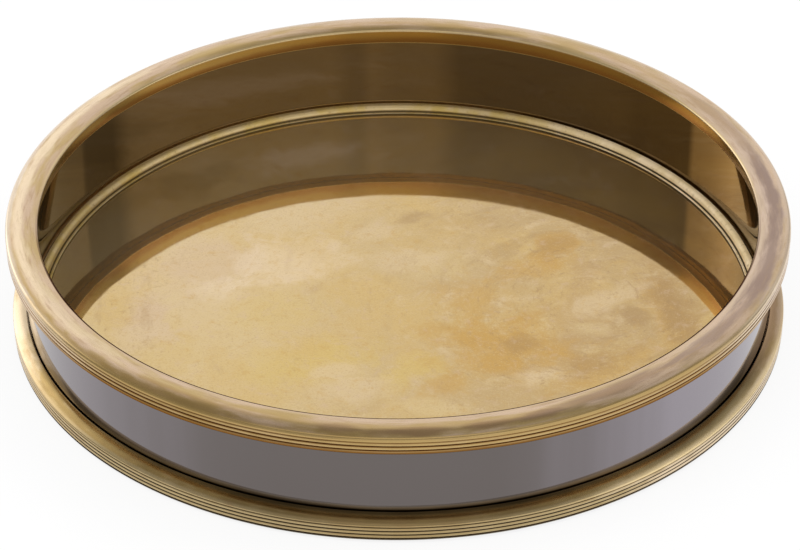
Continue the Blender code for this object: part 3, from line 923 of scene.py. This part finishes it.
def ring_patina(paint, first, second, reed, side_reed_light, spots):
    """Two tones of aged brass, spots, fine streaks round the ring, side reeds paler as painted
    light.
    """
    points = {"drift": paint.along_ring(*DRIFT_STREAKS), "grain": paint.along_ring(*GRAIN_STREAKS)}
    points["speck"] = paint.point
    noises = paint.noises(points, RING_NOISES)
    drift = noises["drift"]
    grain = noises["grain"]
    out = paint.math("DIVIDE", paint.math("SUBTRACT", paint.radius, CREST_RADIUS), RIM_WIDTH / 100)
    plan = paint.vector(paint.angle, out, 0.0)
    ragged = paint.math("ADD", drift, paint.math("MULTIPLY", grain, GRAIN_PART))
    ragged = paint.math("MULTIPLY", paint.math("SUBTRACT", ragged, RAGGED_MIDDLE), RING_RAGGED)
    tone = paint.mix(paint.step(drift, *RING_TONES), first, second)
    side = paint.eased(paint.radius, OUTER_RADIUS, SIDE_EDGES)
    # Painted light: the reeds paler towards the sides
    away = paint.step(paint.math("ABSOLUTE", paint.angle), *TURNED_AWAY)
    reed = paint.mix(away, reed, side_reed_light)
    tone = paint.mix(paint.math("MULTIPLY", side, SIDE_SHARE), tone, reed)
    tone = paint.layers(tone, noises, RING_STREAKS)
    tone = paint.spots(tone, plan, ragged, spots)
    tone = paint.layers(tone, noises, RING_SPECKS)
    return tone, drift, grain


def rim_brass():
    """Satin aged brass, pink at its inner edge, amber on its inner face, with painted light and
    shade.
    """
    paint = Paint("rim_brass", RING_METAL, RING_GLOSS)
    tone, drift, grain = ring_patina(paint, BRASS, BLUSH, REED, SIDE_REED_PAINTED_LIGHT, RIM_SPOTS)
    ahead = paint.step(paint.math("ABSOLUTE", paint.angle), *TURNED_AWAY, 1.0, AWAY_SHARE)
    outside = paint.math("MULTIPLY", paint.eased(paint.radius, OUTER_RADIUS, SIDE_EDGES), ahead)
    band = paint.eased(paint.z, RIM_REED_TOP, BAND_EDGE, 0.0, BAND_SHARE)
    tone = paint.mix(paint.math("MULTIPLY", outside, band), tone, GOLD)
    # Painted shade on the lowest reed, strongest in front
    lowest = paint.eased(paint.z, RIM_FOOT, LOWEST_EDGE, LOWEST_SHARE, 0.0)
    grooves = reed_grooves(paint, RIM_REED_TOP, RIM_PITCH, RIM_GROOVE)
    # Painted light: the grooves paler towards the sides
    grooves = paint.math("MULTIPLY", grooves, paint.step(ahead, AWAY_SHARE, 1.0, FAR_GROOVE, 1.0))
    grooves = paint.math("MAXIMUM", grooves, paint.math("MULTIPLY", outside, lowest))
    # Rust in the grooves, and the painted shade of the lowest reed
    tone = paint.mix(grooves, tone, RUST_AND_SHADE)
    # Painted light on the rim's underside inside the wall, where shade falls
    under = paint.step(paint.radius, WALL_INNER, WALL_OUTER, 1.0, 0.0)
    under = paint.math("MULTIPLY", paint.eased(paint.z, RIM_FOOT, UNDER_EDGE, 1.0, 0.0), under)
    tone = paint.mix(under, tone, UNDERSIDE_PAINTED_LIGHT)
    # Painted shade line along the inner edge at the front, in the colour and the specular tint
    line = paint.eased(paint.radius, CREST_RADIUS, LINE_EDGE, 1.0, 0.0)
    line = paint.math("MULTIPLY", paint.step(paint.y, *FRONT_LINE, 1.0, 0.0), line)
    tone = paint.mix(line, tone, EDGE_PAINTED_SHADE)
    edge = paint.mix(line, paint.mix(grooves, WHITE, AMBER), EDGE_PAINTED_SHADE)
    paint.put(edge, paint.shader.inputs["Specular Tint"])
    # Painted highlight along the inner edge at the back
    lit = paint.eased(paint.radius, CREST_RADIUS, LIT_EDGE, 1.0, 0.0)
    lit = paint.math("MULTIPLY", paint.step(paint.y, *BACK_LINE, 0.0, BACK_SHARE), lit)
    tone = paint.mix(lit, tone, CREAM)
    height = paint.step(paint.z, RIM_FOOT, CREST_Z - LIP_TOP)
    uneven = paint.math("MULTIPLY", paint.math("SUBTRACT", drift, 0.5), LIP_DRIFT)
    height = paint.math("ADD", height, uneven)
    lip = paint.mix(paint.step(paint.x, *LIP_SIDES), LIP, LIP_LEFT)
    lip = paint.mix(paint.step(height, *LIP_EASE), LIP_FOOT, lip)
    inner = paint.eased(paint.z, CREST_Z, LIP_EDGE, 1.0, 0.0)
    inner = paint.math("MULTIPLY", inner, paint.math("SUBTRACT", 1.0, under))
    face = paint.eased(paint.radius, CREST_RADIUS, LIP_FACE, 1.0, 0.0)
    tone = paint.mix(paint.math("MULTIPLY", inner, face), tone, lip)
    rough = paint.blend(under, paint.step(drift, *RING_ROUGH), UNDER_ROUGH)
    return paint.finish(tone, rough, grain, RING_GRAIN)


def base_brass():
    """Satin aged brass, brown with painted shade towards the wall and under its lowest reed."""
    paint = Paint("base_brass", RING_METAL, RING_GLOSS)
    # Painted shade on the top a few millimetres out from the wall, strongest in front
    facing = paint.step(paint.math("ABSOLUTE", paint.angle), *BASE_FACING, 1.0, FACING_LEAST)
    rise = paint.eased(paint.radius, WALL_OUTER, FRONT_SHADE_RISE, 0.0, FRONT_SHADE_SHARE)
    fall = paint.eased(paint.radius, WALL_OUTER, FRONT_SHADE_FALL, 1.0, 0.0)
    painted_front_shade = paint.math("MULTIPLY", facing, paint.math("MULTIPLY", rise, fall))
    foot = paint.eased(paint.radius, WALL_OUTER, FOOT_SHADE, FOOT_SHARE, 0.0)
    foot = paint.math("MULTIPLY", foot, paint.step(facing, FACING_LEAST, 1.0, FOOT_LEAST, 1.0))
    right = paint.step(paint.angle, *RIGHT_END, 1.0, 0.0)
    right = paint.math("MULTIPLY", paint.step(paint.angle, *RIGHT_START), right)
    near = paint.eased(paint.radius, WALL_OUTER, RIGHT_SHADE, RIGHT_SHARE, 0.0)
    ground = paint.eased(paint.z, BASE_Z, GROUND_SHADE, GROUND_SHARE, 0.0)
    grooves = reed_grooves(paint, BASE_REED_TOP, BASE_PITCH, BASE_GROOVE_SPREAD)
    tone, drift, grain = ring_patina(paint, OLIVE, GOLD, BASE_REED, SHELL, BASE_SPOTS)
    # Painted shade in front, by the wall, on the right and at the foot, and the grooves darkened
    for shade in (painted_front_shade, grooves, foot, paint.math("MULTIPLY", near, right), ground):
        tone = paint.mix(shade, tone, UMBER)
    # Painted highlight on the crown on the right, paler and partly matt
    pale = paint.step(paint.angle, *CROWN_END, 1.0, 0.0)
    pale = paint.math("MULTIPLY", paint.step(paint.angle, *CROWN_START), pale)
    crown = paint.eased(paint.z, BASE_REED_TOP, CROWN_FOOT)
    crown = paint.math("MULTIPLY", paint.eased(paint.radius, WALL_OUTER, CROWN_EDGE), crown)
    pale = paint.math("MULTIPLY", pale, crown)
    tone = paint.mix(paint.math("MULTIPLY", pale, CROWN_SHARE), tone, CROWN_PAINTED_HIGHLIGHT)
    paint.put(paint.blend(pale, RING_METAL, CROWN_METAL), paint.shader.inputs["Metallic"])
    return paint.finish(tone, paint.step(drift, *RING_ROUGH), grain, RING_GRAIN)


def bead_satin():
    """Paler satin brass, small brown spots, painted light, painted shade dark in its two fine
    grooves.
    """
    paint = Paint("bead_brass", metallic=BEAD_METAL, roughness=0.40)
    noises = paint.noises({"mottle": paint.warped(*BEAD_BEND), "fleck": paint.point}, BEAD_NOISES)
    mottle = noises["mottle"]
    # Painted light on the bead's right side: paler, less metallic and rougher
    right = paint.step(paint.x, *BEAD_LIT_SIDE)
    tone = paint.mix(paint.step(mottle, *BEAD_TONES), CREAM, YELLOW)
    tone = paint.mix(right, tone, paint.layers(BEAD_PAINTED_LIGHT, noises, LIT_SIDE_MOTTLE))
    tone = paint.layers(tone, noises, BEAD_FLECKS)
    # Painted shade in the notch at the foot and along the toe's edge, a little lighter on the left
    foot = paint.step(paint.radius, BEAD_FOOT - BEAD_NOTCH, BEAD_FOOT - BEAD_NOTCH / 2)
    crease = paint.step(paint.radius, BEAD_FOOT, BEAD_FOOT + BEAD_NOTCH / 2, 1.0, 0.0)
    toe = paint.eased(paint.radius, BEAD_TOE, TOE_EDGE, 1.0, 0.0)
    dark = paint.math("MAXIMUM", paint.math("MULTIPLY", foot, crease), toe)
    dark = paint.math("MULTIPLY", dark, paint.blend(right, LEFT_LINES, 1.0))
    tone = paint.mix(dark, tone, UMBER)
    # Painted light, pale and matt, in the slot behind the bead, except on the right
    slot = paint.eased(paint.radius, BEAD_BACK, SLOT_LIGHT_EDGE)
    slot = paint.math("MULTIPLY", slot, paint.math("SUBTRACT", 1.0, right))
    tone = paint.mix(slot, tone, BEAD_PAINTED_LIGHT)
    metal = paint.blend(slot, paint.blend(right, BEAD_METAL, LIT_SIDE_METAL), 0.0)
    paint.put(metal, paint.shader.inputs["Metallic"])
    rough = paint.blend(right, paint.step(mottle, *BEAD_ROUGH), LIT_SIDE_ROUGH)
    return paint.finish(tone, rough, noises["fleck"], BEAD_GRAIN)


def dark_nickel():
    """Polished dark nickel outside, paler to both sides as painted reflection, and warmer inside.
    """
    paint = Paint("dark_nickel", metallic=1.0, roughness=0.03)
    points = {"cloud": paint.point, "column": paint.flattened(paint.point), "wave": paint.point}
    noises = paint.noises(points, WALL_NOISES)
    # Painted reflection: the outside paler to the left, the right and the back left
    uneven = paint.math("MULTIPLY", paint.math("SUBTRACT", noises["column"], 0.5), WALL_UNEVEN)
    uneven = paint.math("ADD", paint.angle, uneven)
    sides = paint.math("MAXIMUM", paint.step(uneven, *WALL_LEFT), paint.step(uneven, *WALL_BACK))
    sides = paint.math("MAXIMUM", paint.step(uneven, *WALL_RIGHT), sides)
    outer = paint.mix(sides, NICKEL, NICKEL_PAINTED_REFLECTION)
    # Painted reflection of the base ring's edge, a band at the wall's foot
    rise = paint.eased(paint.z, BASE_EDGE_Z, GLOW_RISE, 0.0, GLOW_SHARE)
    fall = paint.eased(paint.z, BASE_EDGE_Z, GLOW_FALL, 1.0, 0.0)
    outer = paint.mix(paint.math("MULTIPLY", rise, fall), outer, FOOT_GLOW)
    inner = paint.mix(noises["cloud"], INNER_NICKEL, INNER_CLOUD)
    # Painted reflection: the inside warmer and brighter on the right
    inner = paint.mix(paint.step(paint.x, *INNER_SIDE), inner, INNER_PAINTED_REFLECTION)
    # Painted light in the shaded gap just above the bead, on the left
    gap_light = paint.eased(paint.z, BEAD_TOP, BEAD_GAP_EDGE, 1.0, 0.0)
    gap_light = paint.math("MULTIPLY", gap_light, paint.step(paint.x, *BEAD_LIT_SIDE, 1.0, 0.0))
    inner = paint.mix(gap_light, inner, BEAD_GAP_PAINTED_LIGHT)
    # Painted light on the shaded top of the inside under the rim, more on the right
    strip = paint.eased(paint.z, RIM_FOOT, UNDER_RIM_EDGE)
    strip = paint.math("MULTIPLY", strip, paint.step(paint.x, *UNDER_RIM_SIDES))
    inner = paint.mix(strip, inner, UNDER_RIM_PAINTED_LIGHT)
    inside = paint.step(paint.radius, WALL_INNER, WALL_OUTER, 1.0, 0.0)
    rough = paint.step(noises["cloud"], *WALL_ROUGH)
    return paint.finish(paint.mix(inside, outer, inner), rough, noises["wave"], WALL_WAVE)


def plain(name):
    """A plain material: two tones, a roughness and a bump that follow one noise."""
    metallic, roughness, noise, tones, rough, bump = PLAIN_MATERIALS[name]
    paint = Paint(name, metallic, roughness)
    grain = paint.noise(paint.point, *noise)
    return paint.finish(paint.mix(grain, *tones), paint.step(grain, *rough), grain, bump)


def felt_dark():
    """Dense felt, with its sheen."""
    material = plain("felt_dark")
    shader = material.node_tree.nodes["Principled BSDF"]
    shader.inputs["Sheen Weight"].default_value = FELT_SHEEN
    return material


# Light, floor and camera

LENS = 121.05
CAMERA_TILT = 56.19
CAMERA_ROLL = -0.19
CAMERA_PLACE = Vector((0.00103, -1.31116, 0.89561))

# The plain light on matt surfaces, the share of the floor's light that is its own, and the
# studio's brightness in reflections: by azimuth from the back, rising to the right, up to
# the panels' top, and by height above it
PLAIN_LEVEL = 0.88
FLOOR_GLOW = 0.85
PANEL_TOP = 45.0
PANEL_SOFT = 6.0
PANELS = (
    (-180.0, 0.90), (-168.0, 0.90), (-160.0, 0.56), (-104.0, 0.54), (-96.0, 0.44), (-73.0, 0.42),
    (-70.5, 1.25), (-60.0, 1.50), (-46.0, 2.15), (-38.0, 1.80), (-30.0, 1.15), (-12.0, 1.15),
    (-8.0, 1.00), (22.0, 1.00), (30.0, 0.60), (59.0, 0.72), (61.0, 0.38), (76.0, 0.40),
    (84.0, 0.90), (96.0, 1.00), (140.0, 0.95), (158.0, 1.00), (164.0, 0.80), (168.0, 0.80),
    (172.0, 1.05), (180.0, 0.90),
)
CEILING = ((40.0, 0.50), (50.0, 0.40), (64.0, 0.40), (76.0, 0.85), (90.0, 1.00))
FLOOR_SIZE = 12.0

# Lamps: name, place, size, power
LAMPS = (
    ("key", (-0.9, -0.6, 1.5), 1.2, 7.0),
    ("fill", (1.0, 0.3, 1.4), 1.2, 5.0),
)


def seen(recipe):
    """1 for camera, mirror and transmission rays."""
    path = recipe.add("ShaderNodeLightPath")
    share = path.outputs["Is Camera Ray"]
    for name in ("Is Glossy Ray", "Is Transmission Ray"):
        share = recipe.math("MAXIMUM", share, path.outputs[name])
    return share


def stage_floor():
    """Large pale floor that shows white, with most of its light its own, and keeps the shadow."""
    bpy.ops.mesh.primitive_plane_add(size=FLOOR_SIZE)
    floor = bpy.context.active_object
    floor.name = "studio_floor"
    material = bpy.data.materials.new("studio_floor")
    material.use_nodes = True
    recipe = Recipe(material.node_tree)
    shader = material.node_tree.nodes["Principled BSDF"]
    shader.inputs["Roughness"].default_value = 1.0
    shader.inputs["Specular IOR Level"].default_value = 0.0
    look = seen(recipe)
    shown = 1.0 - FLOOR_GLOW
    tone = recipe.mix(look, MATT_FLOOR, colour(shown, shown, shown))
    recipe.put(tone, shader.inputs["Base Color"])
    shader.inputs["Emission Color"].default_value = WHITE
    recipe.put(recipe.math("MULTIPLY", look, FLOOR_GLOW), shader.inputs["Emission Strength"])
    floor.data.materials.append(material)


def studio_world():
    """Plain light on matt surfaces, white behind, and soft panels all round in reflections."""
    world = bpy.data.worlds.new("studio")
    bpy.context.scene.world = world
    world.use_nodes = True
    recipe = Recipe(world.node_tree)
    shader = world.node_tree.nodes["Background"]
    shader.inputs["Color"].default_value = WHITE
    toward = recipe.add("ShaderNodeTexCoord").outputs["Generated"]
    east, north, up = recipe.split(toward)
    azimuth = recipe.math("DEGREES", recipe.math("ARCTAN2", east, north))
    height = recipe.math("DEGREES", recipe.math("ARCSINE", up))
    around = recipe.ramp(azimuth, PANELS)
    above = recipe.ramp(height, CEILING)
    room = recipe.step(height, PANEL_TOP - PANEL_SOFT, PANEL_TOP + PANEL_SOFT)
    level = recipe.blend(room, around, above)
    path = recipe.add("ShaderNodeLightPath")
    strength = recipe.blend(path.outputs["Is Glossy Ray"], PLAIN_LEVEL, level)
    for name in ("Is Camera Ray", "Is Transmission Ray"):
        strength = recipe.blend(path.outputs[name], strength, 1.0)
    recipe.put(strength, shader.inputs["Strength"])


def soft_box(name, place, size, power):
    """Square lamp aimed at the tray."""
    light = bpy.data.lights.new(name, "AREA")
    light.size = size
    light.energy = power
    lamp = bpy.data.objects.new(name, light)
    lamp.location = place
    lamp.visible_glossy = False
    lamp.rotation_euler = (-Vector(place)).to_track_quat("-Z", "Y").to_euler()
    bpy.context.scene.collection.objects.link(lamp)


def photograph_camera():
    """Camera at the photograph's viewing angle."""
    data = bpy.data.cameras.new("camera")
    data.lens = LENS
    camera = bpy.data.objects.new("camera", data)
    tilt = Matrix.Rotation(math.radians(CAMERA_TILT), 4, "X")
    roll = Matrix.Rotation(math.radians(CAMERA_ROLL), 4, "Z")
    camera.matrix_world = Matrix.Translation(CAMERA_PLACE) @ tilt @ roll
    bpy.context.scene.collection.objects.link(camera)
    bpy.context.scene.camera = camera


# Assembly

def show(piece, slot, *nodes):
    """Let a new piece ride in the place of its CAD nodes."""
    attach(piece, "root")
    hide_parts(*nodes)


def repaint(node, material):
    """Give a CAD node that stays its detailed material."""
    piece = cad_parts[node]
    piece.data.materials.clear()
    piece.data.materials.append(material)


def build():
    """Make every piece and the studio."""
    rim = rim_brass()
    base = base_brass()
    bead = bead_satin()
    board = plain("board_black")
    steel = plain("screw_steel")
    felt = felt_dark()
    holes = screw_holes(board)
    show(top_rim(rim), "rim_brass", "top_rim")
    show(wall_band(dark_nickel()), "dark_nickel", "wall_band")
    show(base_ring(base, holes), "base_brass", "base_ring")
    show(inner_bead(bead, holes), "bead_brass", "inner_bead")
    show(floor_plate(floor_brass()), "floor_brass", "floor_plate")
    bpy.data.objects.remove(holes, do_unlink=True)
    for number in range(1, PAD_COUNT + 1):
        pad = felt_pad(number, felt)
        show(pad, "felt_dark", f"felt_pad_{number}")
    for number in range(1, SCREW_COUNT + 1):
        repaint(f"screw_{number}", steel)
    repaint("stiffener_board", board)
    stage_floor()
    studio_world()
    for lamp in LAMPS:
        soft_box(*lamp)
    photograph_camera()
    bpy.context.scene.view_settings.view_transform = "Standard"


build()
